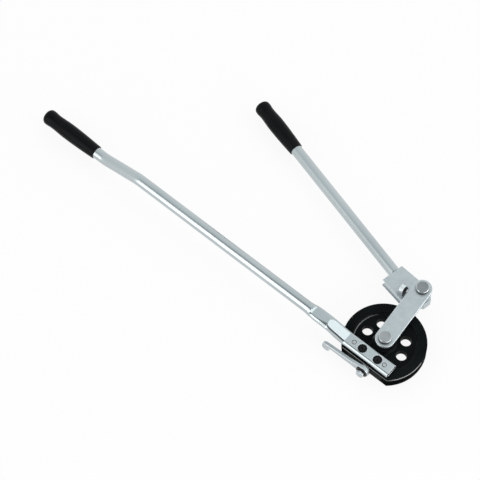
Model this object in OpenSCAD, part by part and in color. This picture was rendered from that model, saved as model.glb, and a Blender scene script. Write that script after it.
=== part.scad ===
// Lever tube bender: a grooved half-round form on a long fixed handle, a link plate that
// turns about the form's hub, and a grooved shoe with its own lever handle at the link's end.
// Origin: hub axis at the middle of the form's thickness. +X runs away from the fixed handle,
// +Y runs away from the form's flat, +Z points to the side that carries the link plate.

/* [Tube and form] */
// Outside diameter of the tube that is bent
bent_tube_d = 19; // [16:0.5:21]
// Bend radius to the tube's centre line
bend_r = 76.2; // [66:0.1:90]
// Thickness of the form over both rims
form_t = 22.5; // [21.5:0.5:28]
// Thickness of the web between the rims
web_t = 14.5; // [10:0.5:18]
// Radius of the recess inside the rim
recess_r = 58.5; // [56.5:0.5:62]
// Radius of the boss round the hub
hub_boss_r = 20; // [18:0.5:23]
// Distance from the hub axis to the form's flat
flat_dist = 57; // [55:0.5:60]
// Radius of the circle of lightening holes
hole_circle_r = 38.4; // [36:0.1:40]
// Diameter of a lightening hole
hole_d = 19.5; // [12:0.5:21]
// Width of the ribs from the hub boss to the handle seat
rib_w = 5; // [3:0.5:8]
// Chamfer on the rim's edges
rim_chamfer = 1; // [0.3:0.1:1.5]

/* [Fixed handle] */
// Outside diameter of both handle tubes
handle_d = 22.2; // [20:0.1:24]
// Wall of both handle tubes
handle_wall = 2.6; // [2:0.1:3]
// Distance from the hub axis to the fixed handle
seat_dist = 40.2; // [39:0.1:41]
// Thickness of the handle's pressed end
press_t = 12; // [10:0.5:13]
// Reach of the pressed end past the hub axis
press_reach = 46.5; // [43:0.5:49]
// Distance from the hub axis to where the pressed end starts to open out
press_start = 53; // [50:0.5:60]
// Length of the slope from the pressed end up to the raised flat
press_run = 42.5; // [38:0.5:55]
// Thickness of the raised flat between the slope and the round tube
shoulder_t = 13; // [11:0.5:15]
// Height of the raised flat's middle above the middle of the round tube
shoulder_lift = 0.9; // [0:0.1:2]
// Length of the raised flat
shoulder_len = 35.5; // [25:0.5:45]
// Length of the step from the raised flat up to the round tube
step_run = 2.5; // [1.5:0.1:5]
// Length beyond the step over which the sides come in to the round tube
round_run = 12.5; // [8:0.5:20]
// Height of the handle tube above the middle of the form
handle_rise = 23.6; // [22:0.1:26]
// Distance from the hub axis to the start of the handle's set
set_start = 539; // [400:1:600]
// Angle of the handle's set
set_angle = 14; // [10:1:20]
// Bend radius of the handle's set, to the tube's centre line
set_r = 60; // [40:5:80]
// Height of the grip above the middle of the form, after the set
grip_rise = 3; // [0:0.1:5]
// Length of handle tube after the set, without the grip
set_tail = 15.5; // [8:0.5:60]

/* [Grips] */
// Length of the fixed handle's grip
grip_len = 126.5; // [115:0.5:150]
// Length of the lever's grip
lever_grip_len = 118; // [110:0.5:150]
// Largest radius of a grip
grip_r = 15.3; // [14.8:0.1:17]
// Radius of a grip at its open end
grip_mouth_r = 13; // [12.6:0.1:13.8]
// Radius of a grip at its neck, before the flared end
grip_neck_r = 14.2; // [13.6:0.1:15]
// Radius of a grip at its flared end
grip_flare_r = 15.1; // [14.4:0.1:16]
// Thickness of a grip's closed end
grip_cap_t = 9; // [8.5:0.5:12]
// Number of flutes round a grip
flute_count = 6; // [4:1:8]
// Length of a flute
flute_len = 55; // [30:1:60]
// Radius of a flute's round section
flute_r = 2; // [1.5:0.1:3]
// Depth of a flute
flute_depth = 0.9; // [0.4:0.1:1.2]

/* [Link] */
// Distance between the hub pin and the shoe pin
link_len = 120; // [119:0.5:126]
// Width of the link plate
link_w = 36; // [32:0.5:40]
// Thickness of the link plate
link_t = 6; // [5:0.5:8]
// Height of the link plate above the middle of the form
link_rise = 20.75; // [20:0.25:24]
// Direction of the link as it lies at rest
link_dir = 94.8; // [90:0.1:100]
// Chamfer on the plate's edges
link_chamfer = 0.8; // [0.3:0.1:1.2]

/* [Pins and bushes] */
// Diameter of both pivot pins
pin_d = 16; // [12:0.5:17]
// Diameter of a pivot pin's head
pin_head_d = 24; // [20:0.5:28]
// Height of a pivot pin's head
pin_head_h = 7; // [5:0.5:9]
// Wall of a bush
bush_wall = 2; // [1.5:0.1:2.5]
// Width of the ring that a collar or washer adds round its pin
collar_wall = 5; // [4:0.5:6]
// Thickness of a retaining washer
washer_t = 2; // [1.5:0.5:3]
// Thickness of a retaining ring
ring_t = 1.5; // [1:0.1:2]

/* [Shoe and lever] */
// Direction of the shoe's groove at rest
shoe_dir = 168.5; // [167:0.1:170]
// Thickness of the shoe
shoe_t = 22; // [21.5:0.5:26]
// Distance from the shoe pin to the face that the lever leaves
shoe_reach = 63; // [58:0.5:75]
// Distance from the shoe pin to the back edge at the lever's end
shoe_back = 6; // [5:0.5:8]
// Distance from the shoe pin to the shoe's tail
shoe_tail = 20.5; // [19:0.5:22]
// Distance from the shoe pin to the groove's near end
shoe_toe = 16.5; // [12:0.5:18]
// Radius of the shoe's boss round its pin
shoe_boss_r = 17; // [15:0.5:18]
// Gap between the shoe's lips and the form's rim
lip_gap = 0.6; // [0.4:0.1:1.5]
// Offset of the lever's axis from the shoe pin
lever_offset = 13.4; // [12.5:0.1:14]
// Angle between the lever and the shoe's groove
lever_tilt = 3.9; // [2:0.1:5]
// Length of lever tube between the shoe and the grip
lever_len = 311; // [200:1:340]
// Length of the stub inside the lever tube
stub_in_tube = 45; // [30:1:60]
// Distance from the shoe pin to the stub's inner end
stub_start = 22; // [21:0.5:26]
// Distance from the shoe pin to the lever's cross pin
cross_pin_dist = 35; // [32:0.5:50]
// Diameter of the lever's cross pin
cross_pin_d = 5; // [4:0.5:6]

/* [Stop] */
// Thickness of the stop lug
lug_t = 8; // [6:0.5:10]
// Width of the stop lug
lug_w = 13; // [11:0.5:15]
// Height of the stop lug over the link plate's top
lug_over = 1; // [0:0.5:3]
// Distance between the link's edge and the stop lug
lug_gap = 8; // [7:0.5:10]
// Distance of the stop lug from the shoe pin, along the link
lug_along = 19.5; // [17:0.5:21]
// Diameter of the stop screw
stop_d = 8; // [6:0.5:8]
// Width across flats of the stop screw's lock nut
stop_nut_af = 12; // [10:0.5:13]
// Thickness of the stop screw's lock nut
stop_nut_t = 5; // [4:0.5:6]

/* [Hook] */
// Shift of the hook's pivot from the hub axis, away from the handle
hook_shift = 2.5; // [0:0.5:5]
// Thickness of the hook's flat bar
hook_t = 6.5; // [5:0.5:8]
// Radius of the hook's eye
hook_eye_r = 12.8; // [11.8:0.1:14]
// Distance from the hook's pivot to the outside of its foot
hook_reach = 90.5; // [85:0.5:100]
// Distance from the hook's pivot to the bar's lower edge
hook_low = 7.5; // [6:0.5:9]
// Height of the bar at the eye
hook_root_h = 16.3; // [14:0.1:18]
// Height of the bar at the foot
hook_neck_h = 7.1; // [6:0.1:9]
// Width of the hook's foot
hook_foot_w = 16; // [14:0.5:20]
// Distance from the hook's pivot line down to the foot's end
hook_drop = 24; // [20:0.5:30]
// Radius of the outer corner above the foot
hook_corner_r = 10; // [8:0.5:12]
// Thickness of the spacer behind the hook
hook_spacer_t = 3.3; // [3:0.1:8]

/* [Fasteners] */
// Diameter of the hook's bolt
bolt_d = 10; // [8:0.5:10]
// Width across flats of the bolt's head
bolt_af = 16; // [13:0.5:17]
// Height of the bolt's head
bolt_head_h = 7; // [5:0.2:8]
// Depth of the bolt in the form
bolt_depth = 14; // [10:1:15]
// Diameter of a seat screw
screw_d = 8; // [6:0.5:8]
// Diameter of a seat screw's countersunk head
screw_head_d = 17; // [14:0.5:18]
// Height of a seat screw's countersunk head
screw_head_h = 4.5; // [3.5:0.5:5]
// Width across flats of a seat screw's socket
screw_socket_af = 6; // [5:0.5:7]
// Distance between the seat screws
screw_pitch = 34; // [32:0.5:36]
// Distance between the dowels
dowel_pitch = 68; // [62:0.5:70]
// Diameter of a dowel
dowel_d = 7; // [5:0.5:8]
// Depth of screws and dowels in the form
seat_depth = 14; // [10:0.5:15]
// Shift of the screws towards the handle
screw_shift = 2; // [0:0.5:4]
// Shift of the dowels towards the handle
dowel_shift = 3.5; // [2:0.5:6]

/* [Hidden] */
// Clearances: running fit of a shaft, static fit of a piece in its seat, gap between moving faces
run_clear = 0.05;
seat_clear = 0.02;
face_gap = 0.2;
// Extra length of a cutter beyond the face that it opens
cut_over = 1;
// Clearance of the tube in its grooves, and of the rim inside the bend radius
groove_clear = 0.1;
rim_clear = 0.2;
$fn = 64;

groove_r = bent_tube_d / 2 + groove_clear;
rim_r = bend_r - rim_clear;
form_top = form_t / 2;
web_top = web_t / 2;
recess_depth = form_top - web_top;
hole_angles = [0, 45, 90, 135, 180];
rib_x = hub_boss_r - rib_w / 2;

handle_r = handle_d / 2;
handle_in_r = handle_r - handle_wall;
press_r = press_t / 2;
press_flat = PI * (handle_r - press_r) / 2;
press_w = 2 * (press_flat + press_r);
press_z = form_top + press_r;
press_in_r = press_r - handle_wall;
seat_margin = 2;
seat_edge = seat_dist - press_w / 2 - seat_margin;
shoulder_r = shoulder_t / 2;
shoulder_flat = PI * (handle_r - shoulder_r) / 2;
shoulder_w = 2 * (shoulder_flat + shoulder_r);
shoulder_z = handle_rise + shoulder_lift;
round_start = press_start + press_run + shoulder_len + step_run + round_run;
press_rings = 10;
press_tip = 10;
pinch_flat = 2.2;
pinch_run = 22;
side_lead = 12;
shoulder_rings = 6;
step_rings = 4;
round_rings = 3;
seat_over = 1;
ring_points = 48;
filler_setback = 11.5;
filler_len = press_start + press_reach - filler_setback;
screw_x = [for (side = [-1, 1]) -screw_shift + side * screw_pitch / 2];
dowel_x = [for (side = [-1, 1]) -dowel_shift + side * dowel_pitch / 2];

set_drop = set_r * (1 - cos(set_angle));
set_slant = (handle_rise - grip_rise - 2 * set_drop) / sin(set_angle);
set_arc_x = set_r * sin(set_angle);
set_end = set_start + 2 * set_arc_x + set_slant * cos(set_angle);
set_swell = 0.1;
set_lap = 2;
grip_mouth = set_end + set_tail;
grip_steps = 24;
flute_from_end = 36;
cap_len = 11.5;
cap_steps = 8;
cap_flat = 0.85;
cap_power = 3;
swell_at = 0.62;
neck_at = 0.89;

link_top = link_rise + link_t;
pin_r = pin_d / 2;
pin_head_r = pin_head_d / 2;
pin_edge = 2.4;
bush_out_r = pin_r + run_clear + bush_wall;
collar_r = pin_r + collar_wall;
flange_t = 2;
ring_groove = 1;
ring_rim = 2.2;
ring_gap_angle = 50;
pin_tail = 1.2;
shoe_pin_at = [link_len * cos(link_dir), link_len * sin(link_dir)];

shoe_top = shoe_t / 2;
pin_to_form = link_len * cos(link_dir - (shoe_dir - 90));
groove_q = pin_to_form - bend_r;
lip_q = pin_to_form - rim_r - lip_gap;
tail_low = 4;
tail_high = 12;
tail_step = 14;
waist_back = 14.5;
stub_r = handle_in_r - seat_clear;
lever_face_q = lever_offset - shoe_reach * tan(lever_tilt);
tube_start = (shoe_reach + handle_r * sin(lever_tilt)) / cos(lever_tilt);
lever_grip = tube_start + lever_len;

stop_r = stop_d / 2;
stop_z = link_rise + link_t / 2;
lug_start = link_w / 2 + lug_gap;
lug_h = link_top + lug_over - shoe_top;
stop_tail = 3;
stop_touch = 0.3;
link_in_shoe = link_dir + 90 - shoe_dir;

hook_back = flat_dist + hook_spacer_t + face_gap;
hook_front = hook_back + hook_t + face_gap;
hook_foot_r = hook_foot_w / 2;
hook_top = hook_low - hook_neck_h;
spacer_margin = 3;
washer_margin = 1.4;
hook_spacer_r = hook_eye_r - spacer_margin;
hook_washer_r = hook_eye_r - washer_margin;
bolt_r = bolt_d / 2;
hex_shape = 6;

// Disc with chamfered edges, standing on its base
module chamfered_disc(r, h, edge) {
    rotate_extrude()
        polygon([[0, 0], [r - edge, 0], [r, edge], [r, h - edge], [r - edge, h], [0, h]]);
}

// Straight bar along +X with chamfered long edges, standing on its base
module chamfered_bar(len, w, h, edge) {
    rotate([90, 0, 90])
        linear_extrude(len)
            polygon([[-w / 2 + edge, 0], [w / 2 - edge, 0], [w / 2, edge], [w / 2, h - edge],
                [w / 2 - edge, h], [-w / 2 + edge, h], [-w / 2, h - edge], [-w / 2, edge]]);
}

// Flat ring standing on its base
module ring(out_r, in_r, h) {
    difference() {
        cylinder(r = out_r, h = h);
        translate([0, 0, -cut_over])
            cylinder(r = in_r, h = h + 2 * cut_over);
    }
}

// Hexagonal prism with its flats set across the given width
module hexagon(af, h) {
    cylinder(d = af / cos(180 / hex_shape), h = h, $fn = hex_shape);
}

// Rod along +X
module rod_x(r, len) {
    rotate([0, 90, 0])
        cylinder(r = r, h = len);
}

// The link's own frame: +X runs from the hub pin to the shoe pin
module on_link() {
    rotate([0, 0, link_dir])
        children();
}

// The shoe's own frame: origin on the shoe pin, +X along the groove, +Y towards the form
module on_shoe() {
    translate([shoe_pin_at[0], shoe_pin_at[1], 0])
        rotate([0, 0, shoe_dir])
            children();
}

// The lever's own frame: +X along the lever, starting abreast of the shoe pin
module on_lever() {
    on_shoe()
        translate([0, lever_offset, 0])
            rotate([0, 0, -lever_tilt])
                children();
}

// The stop's own frame: +X square away from the link's edge, +Y along the link to the hub
module on_stop() {
    on_shoe()
        rotate([0, 0, link_in_shoe])
            children();
}

// The hook's own frame: origin at its pivot, +X along the bar, +Y down to the foot
module on_hook() {
    translate([hook_shift, -hook_back, 0])
        rotate([90, 0, 0])
            rotate([0, 0, 180])
                children();
}

// The hook bolt's own frame: +Z points out of the form's flat
module on_flat() {
    translate([hook_shift, -flat_dist, 0])
        rotate([90, 0, 0])
            children();
}

// The fixed handle's own frame: +X runs from abreast of the hub to the grip
module on_handle() {
    translate([0, -seat_dist, 0])
        mirror([1, 0, 0])
            children();
}

// Cutter for one recess: the web inside the rim, less the hub boss, the handle seat and two ribs
module recess_cutter() {
    difference() {
        translate([0, 0, web_top])
            cylinder(r1 = recess_r - rim_chamfer, r2 = recess_r, h = recess_depth + cut_over);
        cylinder(r1 = hub_boss_r + rim_chamfer, r2 = hub_boss_r, h = form_t);
        translate([-form_t - rim_r, -rim_r - seat_edge, 0])
            cube([2 * (form_t + rim_r), rim_r, form_t]);
        for (side = [-1, 1])
            translate([side * rib_x - rib_w / 2, -seat_edge - cut_over, 0])
                cube([rib_w, seat_edge + cut_over, form_t]);
    }
}

module form_wheel() {
    color("#17181a")
        difference() {
            translate([0, 0, -form_top])
                chamfered_disc(rim_r, form_t, rim_chamfer);
            rotate_extrude()
                translate([bend_r, 0])
                    circle(r = groove_r);
            translate([-2 * rim_r, -flat_dist - 2 * rim_r, -form_t])
                cube([4 * rim_r, 2 * rim_r, 2 * form_t]);
            for (turn = [0, 180])
                rotate([0, turn, 0])
                    recess_cutter();
            for (angle = hole_angles)
                rotate([0, 0, angle])
                    translate([hole_circle_r, 0, -form_t])
                        cylinder(d = hole_d, h = 2 * form_t);
            translate([0, 0, -form_t])
                cylinder(r = bush_out_r + seat_clear, h = 2 * form_t);
            for (x = screw_x)
                translate([x, -seat_dist, form_top - seat_depth])
                    cylinder(r = screw_d / 2 + seat_clear, h = seat_depth + cut_over);
            for (x = dowel_x)
                translate([x, -seat_dist, form_top - seat_depth])
                    cylinder(r = dowel_d / 2 + seat_clear, h = seat_depth + cut_over);
            on_flat()
                translate([0, 0, -bolt_depth])
                    cylinder(r = bolt_r + seat_clear, h = bolt_depth + cut_over);
        }
}

module hub_bush() {
    color("#b08d4c")
        difference() {
            union() {
                translate([0, 0, -form_top])
                    cylinder(r = bush_out_r, h = form_t);
                translate([0, 0, form_top])
                    cylinder(r = collar_r, h = flange_t);
            }
            translate([0, 0, -form_t])
                cylinder(r = pin_r + run_clear, h = 2 * form_t);
        }
}

// Flat oval with round ends, as a tube has when it is pressed without stretching
module flat_oval(r, flat) {
    square([2 * flat, 2 * r], center = true);
    for (side = [-1, 1])
        translate([side * flat, 0])
            circle(r = r);
}

// Smooth step from 0 to 1
function ease(part) = (1 - cos(180 * min(1, max(0, part)))) / 2;

// Value between two ends, by the part of the way from the first to the second
function between(first, second, part) = first + (second - first) * part;

// Half of the top's flat: it runs up the slope, is pinched at the bend onto the raised flat,
// widens again along that, and closes over the step to the round tube
function top_flat_at(along) =
    let (
        part = min(1, max(0, along / press_run)),
        past = along - press_run,
        pinch = 1 - min(1, max(0, past / pinch_run)),
        step = min(1, max(0, (past - shoulder_len) / step_run)))
    past < 0
        ? max(pinch_flat, press_flat * sqrt(1 - pow(part, press_tip)))
        : between(shoulder_flat, pinch_flat, pinch * pinch) * sqrt(1 - step * step);

// One ring of the run from the pressed end to the round tube, at a distance along it.
// The bottom stays flat until it is clear of the form.
function run_ring(along, wall) =
    let (
        part = min(1, max(0, along / press_run)),
        past = along - press_run - shoulder_len,
        step = min(1, max(0, past / step_run)),
        sides = ease((past + side_lead) / (side_lead + step_run + round_run)),
        clear_of_form = sqrt(rim_r * rim_r - seat_dist * seat_dist) + seat_over - press_start,
        low = ease((along - clear_of_form) / (press_run - clear_of_form)),
        slope_top = between(form_top + press_t, shoulder_z + shoulder_r, part),
        slope_low = between(form_top, shoulder_z - shoulder_r, low),
        top_z = between(slope_top, handle_rise + handle_r, step),
        low_z = between(slope_low, handle_rise - handle_r, step),
        half_w = between(between(press_w, shoulder_w, ease(part)) / 2, handle_r, sides),
        top_flat = top_flat_at(along),
        low_flat = between(press_flat, shoulder_flat, ease(part)) * (1 - sides),
        mid_z = (top_z + low_z) / 2,
        half_h = (top_z - low_z) / 2 - wall)
    [for (i = [0 : ring_points - 1])
        let (
            angle = 360 * (i + 0.5) / ring_points,
            side = cos(angle) > 0 ? 1 : -1,
            flat = sin(angle) > 0 ? top_flat : low_flat)
        [press_start + along, side * flat + (half_w - wall - flat) * cos(angle), mid_z + half_h * sin(angle)]];

// Solid of the pressed end and its run to the round tube, drawn in by a wall and longer by over
module press_loft(wall, over) {
    bend_end = press_run + shoulder_len;
    step_end = bend_end + step_run;
    stations = concat(
        [-press_reach - press_start - over],
        [for (step = [0 : press_rings - 1]) press_run * sin(90 * step / press_rings)],
        [for (step = [0 : shoulder_rings - 1]) press_run + shoulder_len * step / shoulder_rings],
        [for (step = [0 : step_rings - 1]) bend_end + step_run * sin(90 * step / step_rings)],
        [for (step = [0 : round_rings - 1]) step_end + round_run * step / round_rings],
        [step_end + round_run + over]);
    points = [for (along = stations) each run_ring(along, wall)];
    last = (len(stations) - 1) * ring_points;
    sides = [for (step = [0 : len(stations) - 2], i = [0 : ring_points - 1])
        let (
            a = step * ring_points + i,
            b = step * ring_points + (i + 1) % ring_points)
        each [[a, a + ring_points, b], [b, a + ring_points, b + ring_points]]];
    ends = [
        [for (i = [0 : ring_points - 1]) i],
        [for (i = [0 : ring_points - 1]) last + ring_points - 1 - i]];
    polyhedron(points, concat(sides, ends));
}

// One bend of the handle's set, a hair fuller than the straights so that they end inside it
module set_bend(r) {
    rotate([90, 0, 0])
        rotate([0, 0, 90 - set_angle])
            rotate_extrude(angle = set_angle)
                translate([set_r, 0])
                    circle(r = r + set_swell);
}

// Round rod along the set handle, from the end of the pressed run to the cap of the grip
module set_rod(r) {
    translate([round_start, 0, handle_rise])
        rod_x(r, set_start - round_start + set_lap);
    translate([set_start, 0, handle_rise - set_r])
        set_bend(r);
    translate([set_start + set_arc_x, 0, handle_rise - set_drop])
        rotate([0, set_angle, 0])
            translate([-set_lap, 0, 0])
                rod_x(r, set_slant + 2 * set_lap);
    translate([set_end, 0, grip_rise + set_r])
        rotate([0, 180, 0])
            set_bend(r);
    translate([set_end - set_lap, 0, grip_rise])
        rod_x(r, set_lap + set_tail + grip_bore(grip_len) - seat_clear);
}

module handle_foot() {
    color("#c9ccd0")
        on_handle()
            difference() {
                press_loft(0, 0);
                press_loft(handle_wall, cut_over);
                seat_cutter();
            }
}

module fixed_handle() {
    color("#c9ccd0")
        on_handle()
            difference() {
                set_rod(handle_r);
                set_rod(handle_in_r);
                translate([round_start - cut_over, 0, handle_rise])
                    rod_x(handle_in_r, 2 * cut_over);
                translate([grip_mouth + grip_bore(grip_len) - cut_over, 0, grip_rise])
                    rod_x(handle_in_r, 2 * cut_over);
            }
}

module seat_filler() {
    color("#8d9094")
        on_handle()
            difference() {
                translate([press_start - filler_len, 0, press_z])
                    rotate([90, 0, 90])
                        linear_extrude(filler_len)
                            flat_oval(press_in_r - seat_clear, press_flat - seat_clear);
                seat_cutter();
            }
}

// Countersunk head flush with the origin's plane, with a plain shank below; grow widens it to a cutter
module screw_body(shank, grow) {
    rim = 0.6;
    head_r = screw_head_d / 2 + grow;
    shank_r = screw_d / 2 + grow;
    translate([0, 0, -rim])
        cylinder(r = head_r, h = rim + grow);
    translate([0, 0, -screw_head_h])
        cylinder(r1 = shank_r, r2 = head_r, h = screw_head_h - rim);
    translate([0, 0, -shank])
        cylinder(r = shank_r, h = shank - screw_head_h);
}

// Cutter for the screws and dowels in the pressed handle end and its filler
module seat_cutter() {
    for (x = screw_x)
        translate([-x, 0, form_top + press_t])
            screw_body(2 * press_t, seat_clear);
    for (x = dowel_x)
        translate([-x, 0, 0])
            cylinder(r = dowel_d / 2 + seat_clear, h = 2 * press_z);
}

module seat_screw() {
    socket_depth = 3;
    difference() {
        screw_body(press_t + seat_depth - cut_over, 0);
        translate([0, 0, -socket_depth])
            hexagon(screw_socket_af, socket_depth + cut_over);
    }
}

module seat_screws() {
    color("#1c1c1e")
        for (x = screw_x)
            translate([x, -seat_dist, form_top + press_t])
                seat_screw();
}

module seat_dowels() {
    proud = 0.4;
    dowel_len = press_t + seat_depth - cut_over + proud;
    color("#d5d8da")
        for (x = dowel_x)
            translate([x, -seat_dist, form_top + press_t + proud - dowel_len])
                chamfered_disc(dowel_d / 2, dowel_len, proud);
}

// Outer radius of a grip at a distance from its mouth: swell, neck, flare and rounded end
function grip_at(along, len) =
    let (
        part = along / (len - cap_len),
        into_cap = max(0, (along - len + cap_len) / cap_len))
    part < swell_at ? grip_mouth_r + (grip_r - grip_mouth_r) * sin(90 * part / swell_at)
    : part < neck_at ? grip_r + (grip_neck_r - grip_r) * ease((part - swell_at) / (neck_at - swell_at))
    : part < 1 ? grip_neck_r + (grip_flare_r - grip_neck_r) * ease((part - neck_at) / (1 - neck_at))
    : grip_flare_r * sqrt(1 - cap_flat * pow(into_cap, cap_power));

// Length of tube inside a grip
function grip_bore(len) = len - grip_cap_t;

// Moulded grip along +X with its mouth at the origin
module grip(len) {
    flute_x = len - flute_from_end - flute_len;
    body_len = len - cap_len;
    stations = concat(
        [for (step = [0 : grip_steps - 1]) body_len * step / grip_steps],
        [for (step = [0 : cap_steps]) body_len + cap_len * sin(90 * step / cap_steps)]);
    difference() {
        rotate([0, 90, 0])
            rotate_extrude()
                polygon(concat(
                    [[0, 0]],
                    [for (along = stations) [grip_at(along, len), along]],
                    [[0, len]]));
        translate([-cut_over, 0, 0])
            rod_x(handle_r + seat_clear, grip_bore(len) + cut_over);
        for (i = [0 : flute_count - 1])
            rotate([360 * i / flute_count, 0, 0])
                translate([flute_x, 0, grip_r + flute_r - flute_depth]) {
                    rod_x(flute_r, flute_len);
                    sphere(r = flute_r);
                    translate([flute_len, 0, 0])
                        sphere(r = flute_r);
                }
    }
}

module fixed_grip() {
    color("#202225")
        on_handle()
            translate([grip_mouth, 0, grip_rise])
                grip(grip_len);
}

module hook_spacer() {
    color("#b9bcc0")
        on_flat()
            ring(hook_spacer_r, bolt_r + seat_clear, hook_spacer_t);
}

module hook_bolt() {
    bolt_len = hook_front - flat_dist + washer_t + bolt_depth - cut_over;
    head_edge = 1.2;
    color("#c4c6c8")
        translate([hook_shift, -hook_front - washer_t, 0])
            rotate([90, 0, 0]) {
                intersection() {
                    hexagon(bolt_af, bolt_head_h);
                    chamfered_disc(bolt_af / 2 / cos(180 / hex_shape), bolt_head_h, head_edge);
                }
                translate([0, 0, -bolt_len])
                    cylinder(r = bolt_r, h = bolt_len);
            }
}

module hook_washer() {
    color("#18191a")
        translate([hook_shift, -hook_front, 0])
            rotate([90, 0, 0])
                ring(hook_washer_r, bolt_r + seat_clear, washer_t);
}

// Outline of the hook: a tapered bar from the eye to a foot with a rounded corner and end
module hook_outline() {
    foot_x = hook_reach - hook_foot_w;
    corner_x = hook_reach - hook_corner_r;
    corner_y = hook_top + hook_corner_r;
    circle(r = hook_eye_r);
    polygon([[0, hook_low - hook_root_h], [corner_x, hook_top], [corner_x, hook_low], [0, hook_low]]);
    difference() {
        translate([foot_x, hook_top])
            square([hook_foot_w, hook_drop - hook_foot_r - hook_top]);
        difference() {
            translate([corner_x, hook_top - cut_over])
                square([hook_corner_r + cut_over, hook_corner_r + cut_over]);
            translate([corner_x, corner_y])
                circle(r = hook_corner_r);
        }
        translate([0, hook_top - cut_over])
            square([corner_x, cut_over]);
    }
    translate([foot_x + hook_foot_r, hook_drop - hook_foot_r])
        circle(r = hook_foot_r);
}

module hook_bar() {
    color("#aeb2b6")
        on_hook()
            difference() {
                linear_extrude(hook_t)
                    hook_outline();
                translate([0, 0, -cut_over])
                    cylinder(r = bolt_r + run_clear, h = hook_t + 2 * cut_over);
            }
}

module link_plate() {
    color("#b4b9be")
        on_link()
            translate([0, 0, link_rise])
                difference() {
                    union() {
                        chamfered_bar(link_len, link_w, link_t, link_chamfer);
                        for (x = [0, link_len])
                            translate([x, 0, 0])
                                chamfered_disc(link_w / 2, link_t, link_chamfer);
                    }
                    for (x = [0, link_len])
                        translate([x, 0, -cut_over])
                            cylinder(r = pin_r + seat_clear, h = link_t + 2 * cut_over);
                }
}

// Headed pivot pin through the link; floor_z is the underside of what it carries
module pivot_pin(floor_z) {
    ring_z = floor_z - face_gap - washer_t - ring_t;
    pin_end = ring_z - pin_tail;
    difference() {
        union() {
            translate([0, 0, pin_end])
                cylinder(r = pin_r, h = link_top - pin_end);
            translate([0, 0, link_top])
                cylinder(r = pin_head_r, h = pin_head_h - pin_edge);
            translate([0, 0, link_top + pin_head_h - pin_edge])
                cylinder(r1 = pin_head_r, r2 = pin_head_r - pin_edge, h = pin_edge);
        }
        translate([0, 0, ring_z])
            ring(pin_r + cut_over, pin_r - ring_groove, ring_t);
    }
}

// Collar between the link and what turns under it
module pivot_collar(floor_z, out_r) {
    translate([0, 0, floor_z])
        ring(out_r, pin_r + seat_clear, link_rise - floor_z);
}

// Washer under what turns on the pin
module pivot_washer(floor_z) {
    translate([0, 0, floor_z - face_gap - washer_t])
        ring(collar_r, pin_r + seat_clear, washer_t);
}

// Open retaining ring in the pin's groove
module pivot_ring(floor_z) {
    translate([0, 0, floor_z - face_gap - washer_t - ring_t])
        difference() {
            ring(pin_r + ring_rim, pin_r - ring_groove + seat_clear, ring_t);
            linear_extrude(3 * ring_t, center = true)
                polygon([[0, 0],
                    [2 * pin_r, -2 * pin_r * tan(ring_gap_angle / 2)],
                    [2 * pin_r, 2 * pin_r * tan(ring_gap_angle / 2)]]);
        }
}

module at_shoe_pin() {
    translate([shoe_pin_at[0], shoe_pin_at[1], 0])
        children();
}

module hub_pin() {
    color("#a9a39f")
        pivot_pin(-form_top);
}

module hub_collar() {
    color("#8d9094")
        pivot_collar(form_top + flange_t + face_gap, collar_r);
}

module hub_washer() {
    color("#a6aaae")
        pivot_washer(-form_top);
}

module hub_ring() {
    color("#3a3c3f")
        pivot_ring(-form_top);
}

module shoe_pin() {
    color("#8c9096")
        at_shoe_pin()
            pivot_pin(-shoe_top);
}

module shoe_collar() {
    color("#8d9094")
        at_shoe_pin()
            pivot_collar(shoe_top + face_gap, shoe_boss_r);
}

module shoe_washer() {
    color("#a6aaae")
        at_shoe_pin()
            pivot_washer(-shoe_top);
}

module shoe_ring() {
    color("#3a3c3f")
        at_shoe_pin()
            pivot_ring(-shoe_top);
}

module shoe_block() {
    color("#a9b0b4")
        difference() {
            on_shoe()
                translate([0, 0, -shoe_top]) {
                    linear_extrude(shoe_t)
                        polygon([[shoe_reach, lip_q], [-shoe_toe, lip_q], [-shoe_toe, tail_step],
                            [-shoe_tail, tail_high], [-shoe_tail, -tail_low],
                            [0, -waist_back], [shoe_reach, -shoe_back]]);
                    cylinder(r = shoe_boss_r, h = shoe_t);
                }
            on_shoe() {
                translate([-2 * shoe_tail, groove_q, 0])
                    rod_x(groove_r, shoe_reach + 4 * shoe_tail);
                translate([0, 0, -shoe_t])
                    cylinder(r = bush_out_r + seat_clear, h = 2 * shoe_t);
            }
            on_lever() {
                translate([stub_start, 0, 0])
                    rod_x(stub_r + seat_clear, 2 * shoe_reach);
                translate([cross_pin_dist, 0, -shoe_t])
                    cylinder(r = cross_pin_d / 2 + seat_clear, h = 2 * shoe_t);
                translate([tube_start, -shoe_t, -shoe_t])
                    cube([shoe_t, 2 * shoe_t, 2 * shoe_t]);
            }
        }
}

module shoe_bush() {
    color("#b08d4c")
        at_shoe_pin()
            translate([0, 0, -shoe_top])
                ring(bush_out_r, pin_r + run_clear, shoe_t);
}

module lever_stub() {
    color("#8d9094")
        on_lever()
            difference() {
                translate([stub_start + seat_clear, 0, 0])
                    rod_x(stub_r, tube_start - stub_start + stub_in_tube);
                translate([cross_pin_dist, 0, -shoe_t])
                    cylinder(r = cross_pin_d / 2 + seat_clear, h = 2 * shoe_t);
            }
}

module lever_tube() {
    color("#c9ccd0")
        on_lever()
            translate([tube_start, 0, 0])
                rotate([0, 90, 0])
                    ring(handle_r, handle_in_r, lever_len + grip_bore(lever_grip_len) - seat_clear);
}

module lever_cross_pin() {
    proud = 0.4;
    color("#7d8185")
        on_lever()
            translate([cross_pin_dist, 0, -shoe_top])
                chamfered_disc(cross_pin_d / 2, shoe_t + proud, proud);
}

module lever_grip_cover() {
    color("#202225")
        on_lever()
            translate([lever_grip, 0, 0])
                grip(lever_grip_len);
}

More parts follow.
